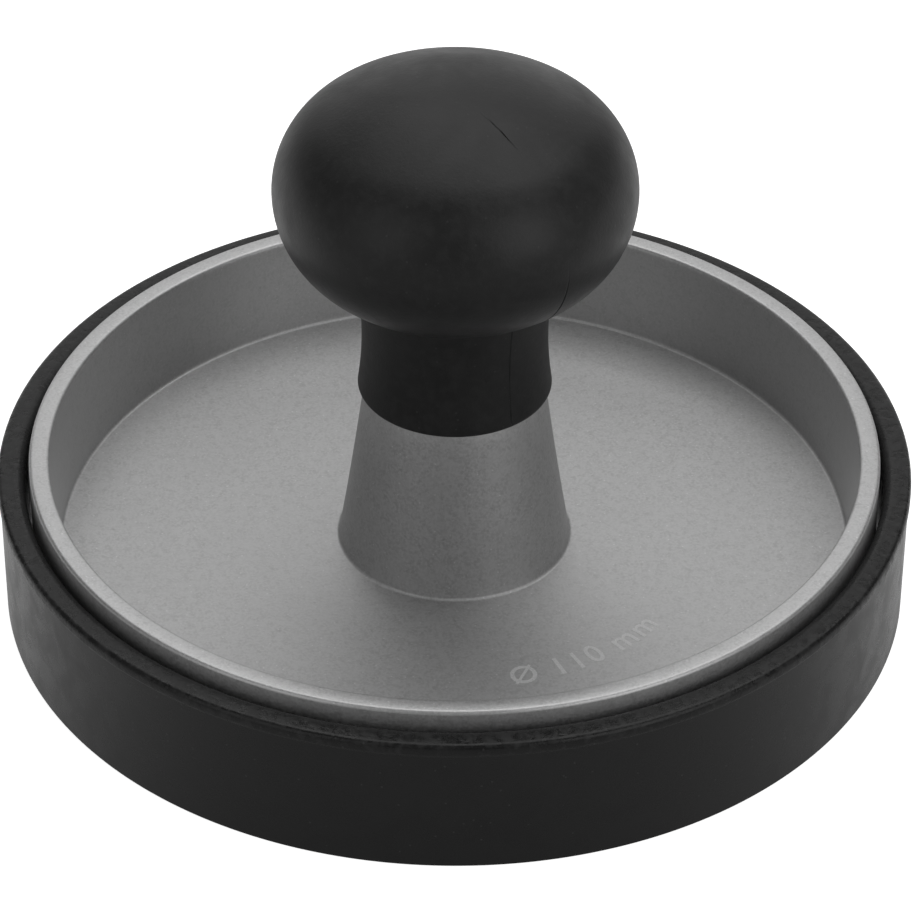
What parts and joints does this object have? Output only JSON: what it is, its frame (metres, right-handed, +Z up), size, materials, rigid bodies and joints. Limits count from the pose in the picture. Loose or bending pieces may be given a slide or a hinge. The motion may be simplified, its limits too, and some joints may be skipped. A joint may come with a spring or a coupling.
{
  "type": "patty press",
  "caption": "Hand press for round patties: a loose forming ring, and a cast round press plate with a rim and a tapered stem under a mushroom knob.",
  "frame": {"origin": "centre of the forming ring's foot, on the surface that the press stands on", "axes": "+Z up, along the common axis of the ring, the plate, the stem and the knob"},
  "size_m": [0.1182, 0.1182, 0.0744],
  "materials": {
    "ring_plastic": "satin black moulded plastic with a fine grain",
    "cast_aluminium": "silver-grey coated casting with a fine metallic speckle",
    "knob_plastic": "satin black moulded plastic with a mould parting line",
    "brass": "turned",
    "screw_steel": "stainless, turned",
    "seal_rubber": "matt"
  },
  "bodies": {
    "ring": {"forming_ring": "ring_plastic"},
    "plunger": {"press_plate": "cast_aluminium", "knob": "knob_plastic", "knob_insert": "brass", "handle_screw": "screw_steel", "screw_seal": "seal_rubber", "stem_seal": "seal_rubber"}
  },
  "joints": [
    {"name": "press_lift", "type": "slide", "parent": "ring", "child": "plunger", "axis": [0, 0, 1], "range_m": [0, 0.04]}
  ]
}
